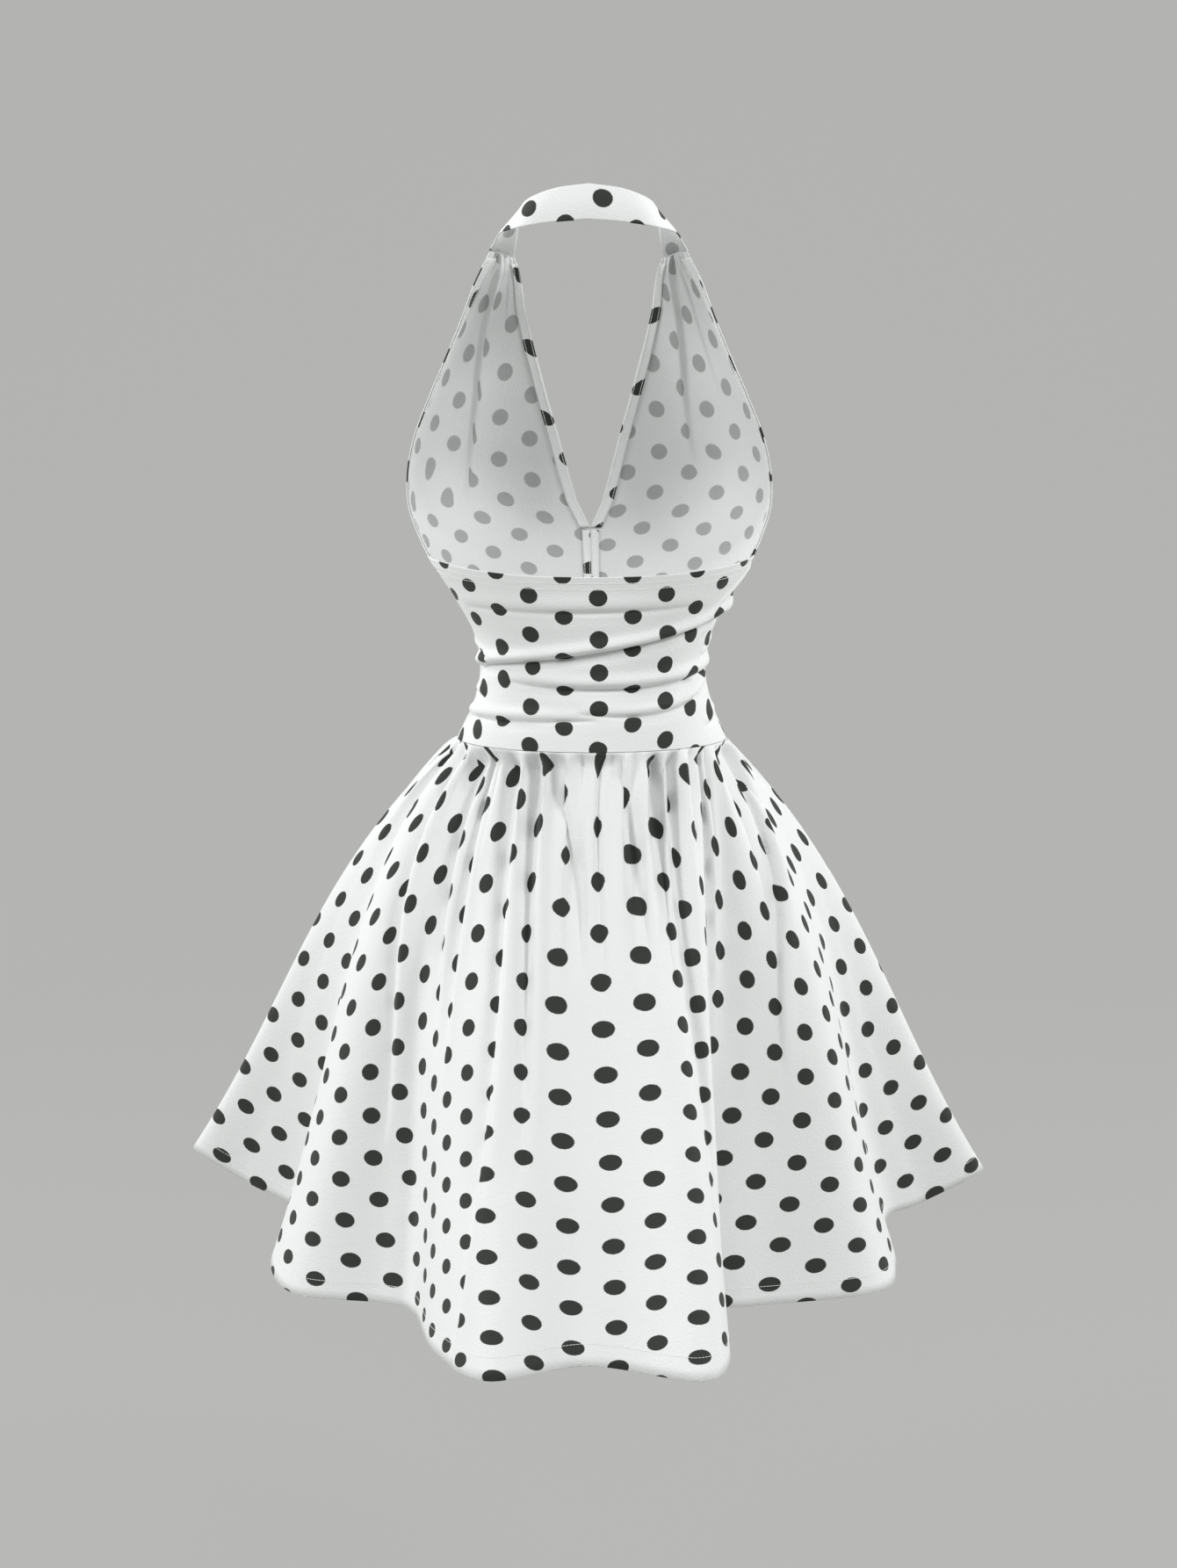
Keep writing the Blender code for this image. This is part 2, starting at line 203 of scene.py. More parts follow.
def run_length(path):
    """The distance along a path of points, from 0 at its start."""
    steps = np.linalg.norm(np.diff(path, axis=0), axis=-1)
    return np.concatenate([np.zeros((1,) + steps.shape[1:]), np.cumsum(steps, axis=0)])


def by_length(path, count):
    """The path resampled to an even spacing along its length."""
    along = run_length(path)
    wanted = np.linspace(0, along[-1], count)
    return np.stack([np.interp(wanted, along, column) for column in path.T], axis=-1)


def grid_normals(grid):
    """Outward unit normals of a grid: its step down the rows crossed with its step
    along the columns."""
    normals = np.cross(np.gradient(grid, axis=0), np.gradient(grid, axis=1))
    return normals / np.maximum(np.linalg.norm(normals, axis=-1, keepdims=True), 1e-12)


def swayed(grid):
    """The grid with the waist moved a little to the wearer's right: a bell curve
    over the height."""
    shift = SWAY * np.exp(-((grid[..., 2] - SWAY_HEIGHT) / SWAY_REACH) ** 2)
    return grid - shift[..., None] * (1, 0, 0)


def parabola(start, middle, end, along):
    """The parabola through three values, at 0, one half and 1 along it."""
    return start + (end - start) * along + (4 * middle - 2 * start - 2 * end) * along * (1 - along)


def crepe(name, cloth, dot, blur, speckle):
    """Crepe knit: matt, finely pebbled polyester with a faint sheen. Round dots sit
    on two lattices half a step apart, by the distance from each lattice's points in
    cut coordinates. blur softens a dot's rim and speckle mottles its colour."""
    material, out = empty_material(name)
    tree = material.node_tree
    cut = add_node(tree, "ShaderNodeUVMap", uv_map="cut").outputs[0]
    ragged = add_node(tree, "ShaderNodeTexNoise", {"Vector": cut, "Scale": 900, "Detail": 1})
    near = []
    for shift in (0.0, 0.5):
        cell = add_node(tree, "ShaderNodeVectorMath",
                        {0: cut, 1: (1 / DOT_COLUMN, 1 / DOT_ROW, 1), 2: (shift, shift, 0)},
                        operation="MULTIPLY_ADD")
        part = add_node(tree, "ShaderNodeVectorMath", {0: cell.outputs[0]}, operation="FRACTION")
        offset = add_node(tree, "ShaderNodeVectorMath",
                          {0: part.outputs[0], 1: (DOT_COLUMN, DOT_ROW, 0),
                           2: (-DOT_COLUMN / 2, -DOT_ROW / 2, 0)}, operation="MULTIPLY_ADD")
        near.append(add_node(tree, "ShaderNodeVectorMath", {0: offset.outputs[0]},
                             operation="LENGTH").outputs["Value"])
    nearest = add_node(tree, "ShaderNodeMath", {0: near[0], 1: near[1]}, operation="MINIMUM")
    rim = add_node(tree, "ShaderNodeMath", {0: ragged.outputs[0], 1: 0.0010, 2: nearest.outputs[0]},
                   operation="MULTIPLY_ADD")
    radius = DOT_ACROSS / 2 + 0.0005    # the ragged rim takes this much back
    inside = add_node(tree, "ShaderNodeMapRange",
                      {"Value": rim.outputs[0], "From Min": radius - blur, "From Max": radius + blur,
                       "To Min": 1.0, "To Max": 0.0}, interpolation_type="SMOOTHSTEP")

    # pebbles about 1.7 mm across, coarser than the yarn so that they show
    pebble = add_node(tree, "ShaderNodeTexVoronoi", {"Vector": cut, "Scale": 620, "Smoothness": 0.8},
                      feature="SMOOTH_F1")
    yarn = add_node(tree, "ShaderNodeTexNoise", {"Vector": cut, "Scale": 1500, "Detail": 2})
    cloud = add_node(tree, "ShaderNodeTexNoise", {"Vector": cut, "Scale": 9, "Detail": 2})
    relief = add_node(tree, "ShaderNodeMath", {0: yarn.outputs[0], 1: 0.6, 2: pebble.outputs["Distance"]},
                      operation="MULTIPLY_ADD")
    bump = add_node(tree, "ShaderNodeBump",
                    {"Strength": 0.50, "Distance": 0.0005, "Height": relief.outputs[0]})
    light, shade = linear(cloth), [c * CLOUDING for c in linear(cloth)[:3]] + [1]
    ground = add_node(tree, "ShaderNodeMix", {0: cloud.outputs[0], 6: light, 7: shade}, data_type="RGBA")
    ink = add_node(tree, "ShaderNodeMix",
                   {0: yarn.outputs[0], 6: linear(dot), 7: [c * speckle for c in linear(dot)[:3]] + [1]},
                   data_type="RGBA")
    colour = add_node(tree, "ShaderNodeMix",
                      {0: inside.outputs[0], 6: ground.outputs[2], 7: ink.outputs[2]}, data_type="RGBA")
    shader = add_node(tree, "ShaderNodeBsdfPrincipled",
                      {"Base Color": colour.outputs[2], "Roughness": 0.82, "Specular IOR Level": 0.25,
                       "Sheen Weight": 0.12, "Sheen Roughness": 0.5, "Normal": bump.outputs[0]})
    tree.links.new(shader.outputs[0], out.inputs["Surface"])
    return material


def printed(cut, dot):
    """The cut coordinates moved so that the middle of a dot falls on this point."""
    return cut - dot + (DOT_COLUMN / 2, DOT_ROW / 2)


def cloth_sheet(name, grid, cut, wall=WALL):
    """A piece of cloth: a sheet through the grid, with its cut coordinates as its UV
    map, thickened by half its wall each way. Outside it shows the right side of the
    crepe and inside the wrong side."""
    mesh, faces = grid_mesh(name, swayed(grid))
    layer = mesh.uv_layers.new(name="cut")
    layer.data.foreach_set("uv", cut.reshape(-1, 2)[faces.ravel()].ravel())
    mesh.materials.append(right_side)
    mesh.materials.append(wrong_side)
    piece = bpy.data.objects.new(name, mesh)
    bpy.context.scene.collection.objects.link(piece)
    solid = piece.modifiers.new("wall", "SOLIDIFY")
    solid.thickness, solid.offset, solid.material_offset = wall, 0.0, 1
    return piece


def sewn_on(piece, slot, *nodes):
    """The piece rides on the dress and stands for these nodes."""
    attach(piece, "root")
    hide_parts(*nodes)


right_side = crepe("crepe_right_side", CREPE_WHITE, DOT_BLACK, 0.00035, 1.7)
wrong_side = crepe("crepe_wrong_side", WRONG_SIDE_WHITE, WRONG_SIDE_DOT, 0.0008, 1.12)


def neckband_grid(columns, rows):
    """The strip between the two smooth edges, bowed outwards by half a sine across its
    width, with its cut coordinates: distance along it over the pull, and across it."""
    half = smooth_path(BAND, 24)
    edges = np.vstack([half[::-1], half[1:] * (-1, 1, 1, -1, 1, 1)])
    upper, lower = by_length(edges[:, :3], columns), by_length(edges[:, 3:], columns)
    across = np.linspace(0, 1, rows)[:, None, None]
    grid = upper + (lower - upper) * across + (0, AXIS_Y, 0)
    grid = grid + grid_normals(grid) * BAND_BOW * np.sin(math.pi * across)
    along = run_length((upper + lower) / 2)
    along = (along - along[-1] / 2) / BAND_PULL
    width = np.linalg.norm(lower - upper, axis=-1)
    cut = np.stack(np.broadcast_arrays(along[None, :], -across[:, :, 0] * width[None, :]), axis=-1)
    return grid, cut


grid, cut = neckband_grid(220, 18)
neckband = cloth_sheet("neckband_crepe", grid, printed(cut, BAND_DOT))
sewn_on(neckband, "dotted_crepe", "neckband")

# ------------------------------------------------------------------ the fronts
# Two halter fronts, cut from the same crepe, gathered at the top into the band's
# ends and joined down the centre. The neckline and armhole edges are turned in
# once and topstitched, and the centre seam's allowances are pressed open.
NECK_POINT_Z, UNDERARM_Z, WAIST_Z = -0.302, -0.320, -0.490
# height, inner edge x and y, outer edge x and y, roundness, cup depth; y is measured
# from the body axis
FRONT = np.array([
    (-0.0430, 0.0695, -0.0560, 0.0915, -0.0380, 0.00, 0.000),
    (-0.0710, 0.0640, -0.0720, 0.1060, -0.0350, 0.35, 0.000),
    (-0.0920, 0.0605, -0.0800, 0.1140, -0.0330, 0.70, 0.002),
    (-0.1320, 0.0510, -0.0920, 0.1305, -0.0310, 1.00, 0.007),
    (-0.1730, 0.0404, -0.1020, 0.1485, -0.0300, 1.00, 0.014),
    (-0.2140, 0.0290, -0.1100, 0.1645, -0.0310, 1.00, 0.021),
    (-0.2470, 0.0205, -0.1150, 0.1708, -0.0330, 1.00, 0.025),
    (-0.2760, 0.0125, -0.1170, 0.1702, -0.0320, 1.00, 0.022),
    (-0.3020, 0.0000, -0.1160, 0.1613, -0.0240, 1.00, 0.015),
    (-0.3200, 0.0000, -0.1130, 0.1523, -0.0140, 1.00, 0.010),
    (-0.3540, 0.0000, -0.1050, 0.1295, 0.0000, 1.00, 0.004),
    (-0.3950, 0.0000, -0.0960, 0.1090, 0.0000, 1.00, 0.000),
    (-0.4320, 0.0000, -0.0920, 0.1055, 0.0000, 1.00, 0.000),
    (-0.4575, 0.0000, -0.0940, 0.1118, 0.0000, 1.00, 0.000),
    (-0.4900, 0.0000, -0.1000, 0.1262, 0.0000, 1.00, 0.000),
])
SEAM_GAP = 0.0004               # between two pieces that meet at a seam
TOP_SLANT = 0.0030              # how far the armhole side is raised at the top
SLANT_END, SLANT_LENGTH = -0.11, 0.067      # height where that ends, and over how far
CUP_POWER = 1.5                 # how sharply the cup swells between its edges
STRIP = 0.0088                  # width of the turned edges
STRIP_WALL = 0.0008             # their thickness, pressed flat
STRIP_INSET = WALL / 2 + 0.0009     # how far inside the panel's middle they lie
STITCH_INSET = 0.0005           # and how far inside the strip's middle its thread lies
STITCH_PITCH, THREAD = 0.0030, 0.0005       # from stitch to stitch, thread's thickness
ALLOWANCE = 0.0066              # width of the centre seam's allowances
# Folds that run down from the gathers, on each front: share across at the top, half
# way and where it ends, height of the end, depth, width. Seen from inside, the
# centre side of each laps over the armhole side.
FRONT_FOLDS = {
    "left": np.array([
        (0.60, 0.43, 0.47, -0.275, 0.0060, 0.016),
        (0.30, 0.24, 0.22, -0.120, 0.0020, 0.006),
        (0.82, 0.80, 0.82, -0.150, 0.0016, 0.007),
    ]),
    "right": np.array([
        (0.34, 0.30, 0.37, -0.250, 0.0060, 0.015),
        (0.62, 0.55, 0.60, -0.190, 0.0034, 0.010),
        (0.84, 0.84, 0.86, -0.130, 0.0014, 0.006),
    ]),
}
FOLD_SLOPE, FRONT_FOLD_STEEP = 1.3, 0.16    # a fold's slow side and its steep side
FOLD_ONSET, FOLD_FADE = 0.012, 0.7          # how it starts below the band and dies away
FRONT_GATHERS, FRONT_GATHER_DEPTH, FRONT_GATHER_REACH = 7, 0.0022, 0.030
FULLNESS, FULLNESS_REACH = 0.9, 0.05        # extra cloth gathered into the band
CUT_MIDDLE = 0.06               # cut coordinate across at the middle of each level
# the middle of a dot, across and down the cut
FRONT_DOT = {"left": (0.0235, -0.1440), "right": (-0.0032, -0.1790)}
# cloth hidden in the largest fold of each front, across and down
FRONT_TUCK = {"left": (0.015, -0.017), "right": (0.010, 0.0)}
TUCK_EDGE, TUCK_FADE = 0.0008, 0.15         # how sharply it starts, where it fades out
# the hanging weight stretches the print: by this share down to the first length
# below the band, and easing over the second
FRONT_STRETCH, STRETCHED_TO, STRETCH_EASE = 0.21, 0.08, 0.11


def smooth_table(table, wanted):
    """Read a table of levels at the wanted heights: each column is a cubic between
    rows whose slope at a row is the mean slope of its two neighbours."""
    depth, values = -table[:, 0], table[:, 1:]
    slopes = np.gradient(values, depth, axis=0)
    x = np.clip(-wanted, depth[0], depth[-1])
    row = np.clip(np.searchsorted(depth, x, side="right") - 1, 0, len(depth) - 2)
    step = (depth[row + 1] - depth[row])[:, None]
    t = (x - depth[row])[:, None] / step
    return ((2 * t**3 - 3 * t**2 + 1) * values[row] + (t**3 - 2 * t**2 + t) * step * slopes[row]
            + (3 * t**2 - 2 * t**3) * values[row + 1] + (t**3 - t**2) * step * slopes[row + 1])


def front_surface(levels, across):
    """The wearer's left front at these heights (down) and shares across each level,
    from the neckline or centre seam to the armhole or side seam: a quarter ellipse,
    straighter towards the gathered top, swollen forward by the cup depth."""
    inner_x = np.maximum(np.interp(-levels, -FRONT[:, 0], FRONT[:, 1]), SEAM_GAP / 2)[:, None]
    columns = smooth_table(FRONT, levels).T[1:, :, None]
    inner_y, outer_x, outer_y, round_, cup = columns
    slant = TOP_SLANT * np.clip((levels - SLANT_END) / SLANT_LENGTH, 0, 1)[:, None]
    angle = across * math.pi / 2
    share_x = across + (np.sin(angle) - across) * round_
    share_y = across + (1 - np.cos(angle) - across) * round_
    x = inner_x + (outer_x - inner_x) * share_x
    y = inner_y + (outer_y - inner_y) * share_y - cup * np.sin(math.pi * across) ** CUP_POWER
    z = levels[:, None] + slant * (2 * across - 1)
    return np.stack([x, y + AXIS_Y, z], axis=-1)


def front_folds(side, levels, across, length):
    """How far each point is moved outwards. A fold is a step inwards: a slow rise
    towards its line from the centre side and a steep drop beyond it, dying away
    downwards. Gathers are rounded ridges that fade a few centimetres below."""
    drop = (FRONT[0, 0] - levels)[:, None]
    move = np.zeros_like(across)
    for top, middle, bottom, end, depth, width in FRONT_FOLDS[side]:
        down = np.clip(drop / (FRONT[0, 0] - end), 0, 1)
        beyond = (across - parabola(top, middle, bottom, down)) * length / width
        step = np.where(beyond < 0, np.exp(-np.abs(beyond) ** FOLD_SLOPE),
                        np.exp(-(beyond / FRONT_FOLD_STEEP) ** 2))
        move -= depth * step * (1 - down) ** FOLD_FADE * np.clip(drop / FOLD_ONSET, 0, 1)
    ridge = np.abs(np.sin(math.pi * (FRONT_GATHERS * across + 0.3 * np.sin(9 * across)))) ** 0.8
    return move - FRONT_GATHER_DEPTH * np.exp(-(drop / FRONT_GATHER_REACH) ** 1.5) * ridge


neck_count, seam_count, front_columns = 100, 70, 90
levels = np.concatenate([np.linspace(FRONT[0, 0], NECK_POINT_Z, neck_count),
                         np.linspace(NECK_POINT_Z, WAIST_Z, seam_count + 1)[1:]])
shares = np.linspace(0, 1, front_columns)[None, :] + 0 * levels[:, None]
plain = front_surface(levels, shares)
lengths = run_length(np.swapaxes(plain, 0, 1))
length = lengths[-1][:, None]
gather = 1 + FULLNESS * np.exp(-(FRONT[0, 0] - levels) / FULLNESS_REACH)[:, None]
down_length = run_length(plain[:, front_columns // 2])[:, None]
stretch = 1 + FRONT_STRETCH * np.clip(1 - (down_length - STRETCHED_TO) / STRETCH_EASE, -0.5, 1)
printed_down = np.cumsum(np.diff(down_length, axis=0, prepend=0) / stretch, axis=0)
front_cut = np.stack([(lengths.T - 0.5 * length) * gather + CUT_MIDDLE,
                      -printed_down + 0 * shares], axis=-1)


def topstitch(name, path, normals, mirrored=False):
    """A row of lockstitches along a path: each stitch is an arched length of thread,
    four-sided in section, whose two ends dip into the cloth. mirrored puts the row
    on the wearer's right."""
    along = run_length(path)
    count = int(along[-1] / STITCH_PITCH)
    stations = np.array([0.08, 0.28, 0.72, 0.92])     # of one stitch, with a gap to the next
    ends = (np.arange(count)[:, None] + stations) * STITCH_PITCH
    at = np.stack([np.interp(ends, along, column) for column in path.T], axis=-1)
    up = np.stack([np.interp(ends, along, column) for column in normals.T], axis=-1)
    ahead = np.gradient(at, axis=1)
    across = np.cross(up, ahead)
    across = across / np.linalg.norm(across, axis=-1, keepdims=True)
    arch = np.array([-0.6, 0.5, 0.5, -0.6])[:, None, None]
    ring = np.array([(1, 0), (0, 1), (-1, 0), (0, -1)])
    points = (at[:, :, None] + up[:, :, None] * (arch + ring[:, 1:]) * THREAD / 2
              + across[:, :, None] * ring[:, :1] * THREAD / 2)
    if mirrored:
        points = points * (-1, 1, 1)
    corner = np.arange(4)
    ring_faces = np.stack([corner, corner + 4, (corner + 1) % 4 + 4, (corner + 1) % 4], axis=-1)
    stitch_faces = np.concatenate([ring_faces, ring_faces + 4, ring_faces + 8])
    faces = stitch_faces + 16 * np.arange(count)[:, None, None]
    mesh = bpy.data.meshes.new(name)
    mesh.from_pydata(swayed(points).reshape(-1, 3), [], faces.reshape(-1, 4))
    mesh.shade_smooth()
    mesh.materials.append(sewing_thread)
    piece = bpy.data.objects.new(name, mesh)
    bpy.context.scene.collection.objects.link(piece)
    return piece


# white polyester sewing thread: satin, each stitch one small bright bead
sewing_thread, out = empty_material("polyester_sewing_thread")
twist = add_node(sewing_thread.node_tree, "ShaderNodeTexNoise", {"Scale": 1800, "Detail": 1})
white = add_node(sewing_thread.node_tree, "ShaderNodeMix",
                 {0: twist.outputs[0], 6: linear("FAFBFA"), 7: linear("E4E6E4")}, data_type="RGBA")
satin = add_node(sewing_thread.node_tree, "ShaderNodeBsdfPrincipled",
                 {"Base Color": white.outputs[2], "Roughness": 0.45, "Sheen Weight": 0.2})
sewing_thread.node_tree.links.new(satin.outputs[0], out.inputs["Surface"])


def tucked(side, cut, levels, across, length):
    """The cut coordinates with the cloth that the largest fold hides beyond its line."""
    top, middle, bottom, end, _, _ = FRONT_FOLDS[side][0]
    down = np.clip((FRONT[0, 0] - levels)[:, None] / (FRONT[0, 0] - end), 0, 1)
    beyond = 1 / (1 + np.exp(-(across - parabola(top, middle, bottom, down)) * length / TUCK_EDGE))
    fade = np.clip((1 - down) / TUCK_FADE, 0, 1)
    return cut + (beyond * fade)[..., None] * FRONT_TUCK[side]


def strip_along(side, rows, edge, width):
    """The turned edge: the panel's own surface over the strip's width, moved in,
    showing the right side of the cloth, its print mirrored about the fold. edge is
    0 for the neckline or centre seam and 1 for the armhole."""
    share = width / length[rows]
    steps = np.linspace(0, 1, 7)[None, :]
    across = share * steps if edge == 0 else 1 - share * (1 - steps)
    surface = front_surface(levels[rows], across)
    surface += grid_normals(surface) * front_folds(side, levels[rows], across, length[rows])[..., None]
    edge_cut = front_cut[rows, 0:1] if edge == 0 else front_cut[rows, -1:]
    inward = np.abs(across - edge) * length[rows]
    sign = 1 if edge == 0 else -1
    cut = edge_cut - np.stack([sign * inward, 0 * inward], axis=-1)
    return surface - grid_normals(surface) * STRIP_INSET, cut


def on_side(side, grid, cut):
    """The grid and its cut, or on the wearer's right both mirrored, with their
    columns in reverse so that the normals still point outwards."""
    if side == "left":
        return grid, cut
    return (grid * (-1, 1, 1))[:, ::-1], (cut * (-1, 1))[:, ::-1]


neck_rows = slice(2, neck_count)
seam_rows = slice(neck_count, None)
arm_rows = slice(2, int(np.argmin(abs(levels - UNDERARM_Z))) + 1)
for side in ("left", "right"):
    relief = front_folds(side, levels, shares, length)
    panel = plain + grid_normals(plain) * relief[..., None]
    own_cut = tucked(side, front_cut, levels, shares, length)
    grid, cut = on_side(side, panel, own_cut)
    front = cloth_sheet("front_" + side + "_crepe", grid, printed(cut, FRONT_DOT[side]))
    sewn_on(front, "dotted_crepe", "front_" + side)
    for name, node, rows, edge, width in (("neckline_turning_", "neck_hem_", neck_rows, 0, STRIP),
                                          ("armhole_turning_", "armhole_hem_", arm_rows, 1, STRIP),
                                          ("centre_allowance_", "centre_seam_", seam_rows, 0, ALLOWANCE)):
        surface, cut = strip_along(side, rows, edge, width)
        grid, cut = on_side(side, surface, cut)
        strip = cloth_sheet(name + side, grid, printed(cut, FRONT_DOT[side]), wall=STRIP_WALL)
        strip.modifiers["wall"].material_offset = 0     # both faces show the right side
        sewn_on(strip, "turned_crepe", node + side)
        inner = surface - grid_normals(surface) * STITCH_INSET
        for place, column in (("outer", 1), ("inner", -2)):
            thread = topstitch(f"{name}{side}_thread_{place}", inner[:, column],
                               -grid_normals(surface)[:, column], mirrored=side == "right")
            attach(thread, "root")

# ------------------------------------------------------------- the back panel
# A fitted back, cut longer than the body it covers and drawn up into the side seams
# so that it ruches across the waist; twin-needle hem along its top edge.
TOP_DIP = 0.0105                # how far the top edge dips at the middle
# height, how far the middle lies behind the body axis
BACK_DEPTH = np.array([
    (-0.3200, 0.0950),
    (-0.3540, 0.0890),
    (-0.3950, 0.0830),
    (-0.4320, 0.0815),
    (-0.4575, 0.0850),
    (-0.4900, 0.0930),
])
BACK_PULL = 1.02                # how far the knit is stretched round the waist
BACK_DRAWN_UP = 1.06            # how much longer it is cut than the back, creases apart
BACK_DOT = (0.0055, -0.0200)    # the middle of a dot, across and down the cut
TWIN_ROWS = {"upper": 0.0065, "lower": 0.0125}      # down from the top edge
SEAM_SHARE, SEAM_HOLD = 0.015, 0.25     # creases are held down to this beside a seam
# Creases of the ruching: where each starts and ends across the panel, its share of
# the way down at its start, middle and end, depth, width, and the cloth it hides.
CREASES = np.array([
    (0.02, 0.98, 0.600, 0.450, 0.285, 0.0060, 0.0080, 0.0100),
    (0.24, 1.00, 0.632, 0.648, 0.600, 0.0046, 0.0085, 0.0080),
    (0.46, 0.97, 0.785, 0.790, 0.650, 0.0034, 0.0070, 0.0060),
    (0.03, 0.52, 0.865, 0.845, 0.825, 0.0032, 0.0075, 0.0060),
    (0.12, 0.78, 0.240, 0.210, 0.205, 0.0020, 0.0100, 0.0020),
    (0.82, 1.00, 0.330, 0.200, 0.060, 0.0030, 0.0050, 0.0030),
    (0.86, 1.00, 0.420, 0.330, 0.200, 0.0024, 0.0045, 0.0030),
    (0.88, 1.00, 0.520, 0.500, 0.440, 0.0020, 0.0045, 0.0020),
    (0.00, 0.16, 0.480, 0.500, 0.520, 0.0020, 0.0050, 0.0020),
    (0.00, 0.14, 0.740, 0.740, 0.755, 0.0018, 0.0050, 0.0020),
    (0.84, 1.00, 0.900, 0.880, 0.840, 0.0018, 0.0055, 0.0020),
])


def back_surface(rows, columns):
    """Half an ellipse at each level, from side seam to side seam, the levels dipping
    to the middle at the top and level at the waist seam."""
    levels = np.linspace(UNDERARM_Z, WAIST_Z + SEAM_GAP / 2, rows)[:, None]
    turn = np.linspace(-math.pi / 2, math.pi / 2, columns)[None, :]
    dip = TOP_DIP * (1 - np.abs(np.sin(turn)) ** 3)
    z = levels - dip * (levels - levels[-1]) / (levels[0] - levels[-1])
    sides = smooth_table(FRONT, z.ravel())
    half_width, side_y = sides[:, 2].reshape(z.shape), sides[:, 3].reshape(z.shape) + SEAM_GAP
    depth = smooth_table(BACK_DEPTH, z.ravel())[:, 0].reshape(z.shape)
    return np.stack([-half_width * np.sin(turn),
                     side_y + (depth - side_y) * np.cos(turn) + AXIS_Y, z], axis=-1)


def ruching(share_across, share_down, height):
    """How far the creases move each point outwards, and how much cloth lies hidden
    above it. A crease is a rounded ridge over a sharp valley, each a bell curve, along
    a parabola, tapered at both ends unless it runs into a side seam."""
    move, hidden = np.zeros_like(share_down), np.zeros_like(share_down)
    for start, stop, at_start, at_middle, at_stop, depth, width, tuck in CREASES:
        along = (share_across - start) / (stop - start)
        ends = np.sin(math.pi * np.clip(along, 0, 1)) ** 0.6
        ends = np.where(start < 0.05, np.where(along < 0.5, 1, ends), ends)
        ends = np.where(stop > 0.95, np.where(along > 0.5, 1, ends), ends)
        ends = ends * (along >= 0) * (along <= 1)
        below = (share_down - parabola(at_start, at_middle, at_stop, along)) * height / width
        ridge = 0.75 * np.exp(-((below + 0.85) / 0.75) ** 2)
        valley = np.exp(-(below / 0.30) ** 2) + 0.35 * np.exp(-((below - 0.5) / 0.7) ** 2)
        move += depth * ends * (ridge - valley)
        hidden += tuck * ends / (1 + np.exp(-below / 0.16))
    fade = np.clip(share_down / 0.05, 0, 1) * np.clip((1 - share_down) / 0.05, 0, 1)
    return move * fade, hidden


back_rows, back_columns = 250, 195
back = back_surface(back_rows, back_columns)
share_across = np.linspace(0, 1, back_columns)[None, :] + np.zeros((back_rows, 1))
share_down = np.linspace(0, 1, back_rows)[:, None] + 0 * share_across
across = run_length(np.swapaxes(back, 0, 1)).T
fall = run_length(back)
move, hidden = ruching(share_across, share_down, UNDERARM_Z - WAIST_Z)
seam_ease = np.clip(np.minimum(share_across, 1 - share_across) / SEAM_SHARE, SEAM_HOLD, 1)
back_cut = np.stack([(across - across[:, -1:] / 2) / BACK_PULL,
                     -(fall * BACK_DRAWN_UP + hidden)], axis=-1)
back = back + grid_normals(back) * (move * seam_ease)[..., None]
back_panel = cloth_sheet("back_panel_crepe", back, printed(back_cut, BACK_DOT))
sewn_on(back_panel, "dotted_crepe", "back_panel")
back_normals = grid_normals(back)
for place, away in TWIN_ROWS.items():
    row = int(away / (UNDERARM_Z - WAIST_Z) * back_rows)
    thread = topstitch("top_hem_thread_" + place, back[row] + back_normals[row] * WALL / 2,
                       back_normals[row])
    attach(thread, "root")

# ------------------------------------------------------------------- the skirt
# Two flared panels, each a sector of a ring, gathered into the waist seam. They
# hang in deep uneven folds, one of them lapped over its neighbour at the back.
LEFT_SEAM, RIGHT_SEAM = 0, 20   # the rows of the table at the side seams
# azimuth in degrees from the centre back towards the wearer's left, reach from the
# body axis, height
HEM = np.array([
    (97.5, 0.393, -0.907),
    (93.0, 0.338, -0.931),
    (87.0, 0.287, -0.946),
    (80.0, 0.283, -0.953),
    (66.0, 0.321, -0.959),
    (52.0, 0.335, -0.962),
    (37.0, 0.303, -0.957),
    (29.5, 0.309, -0.956),
    (19.0, 0.396, -0.948),
    (10.0, 0.473, -0.936),
    (0.0, 0.426, -0.940),
    (-11.0, 0.478, -0.935),
    (-16.0, 0.420, -0.939),
    (-15.2, 0.340, -0.950),
    (-18.0, 0.283, -0.955),
    (-30.0, 0.293, -0.955),
    (-50.0, 0.336, -0.957),
    (-63.0, 0.317, -0.957),
    (-80.0, 0.288, -0.947),
    (-87.0, 0.322, -0.942),
    (-93.0, 0.386, -0.919),
    (-108.0, 0.350, -0.940),
    (-126.0, 0.385, -0.945),
    (-144.0, 0.320, -0.955),
    (-162.0, 0.400, -0.948),
    (-180.0, 0.335, -0.957),
    (-198.0, 0.398, -0.948),
    (-216.0, 0.318, -0.955),
    (-232.0, 0.380, -0.943),
    (-249.0, 0.345, -0.938),
])
# reach of the mean ring at the hem; how much the skirt kicks out under the waist and
# how soon that is over; how much later it spreads to front and back; how its folds grow
MEAN_REACH, FLARE_KICK, FLARE_POWER, FLARE_DELAY, FOLD_POWER = 0.372, 0.76, 2.2, 0.35, 1.25
SECTOR = math.radians(56)       # angle of each panel's flat cut
INNER_RADIUS = 0.74             # of the flat cut, at the waist edge
